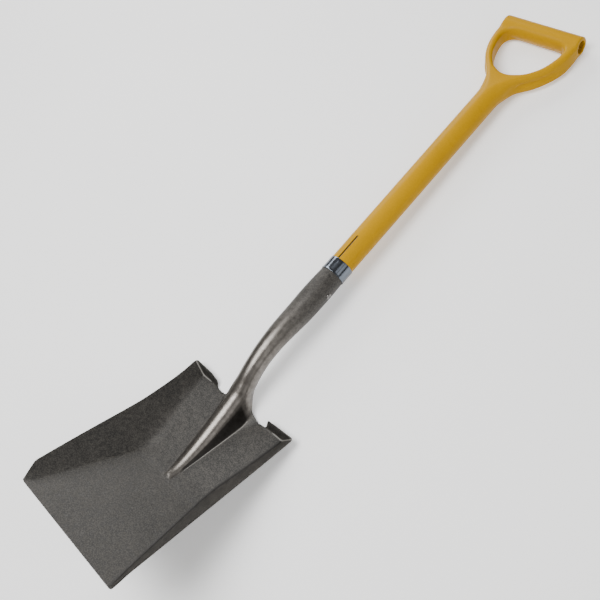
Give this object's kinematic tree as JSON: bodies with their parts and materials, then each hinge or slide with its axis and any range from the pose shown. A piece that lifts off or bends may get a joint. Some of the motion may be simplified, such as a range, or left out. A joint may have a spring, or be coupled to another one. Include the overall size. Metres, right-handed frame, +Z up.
{
  "type": "square-mouth shovel",
  "caption": "Short square-mouth shovel: scoop-shaped steel blade with flared walls and foot steps, cranked socket, bright ferrule, round shaft and a D-grip.",
  "frame": {"origin": "middle of the footprint of the shovel lying on its back, on the floor", "axes": "+Y runs along the shovel from the cutting edge to the grip, +Z is up and is the side that the blade's hollow faces, and the shovel is the same on both sides of X=0"},
  "size_m": [0.2372, 1.0482, 0.1386],
  "materials": {
    "blade": "dark grey, smooth, lightly speckled",
    "d_handle": "satin yellow",
    "handle_core": "plain fibreglass",
    "core_dowel": "plain wood",
    "ferrule": "bright",
    "socket_rivet": "plain steel"
  },
  "bodies": {
    "root": {"blade": "blade", "d_handle": "d_handle", "handle_core": "handle_core", "core_dowel": "core_dowel", "ferrule": "ferrule", "socket_rivet": "socket_rivet"}
  },
  "joints": []
}
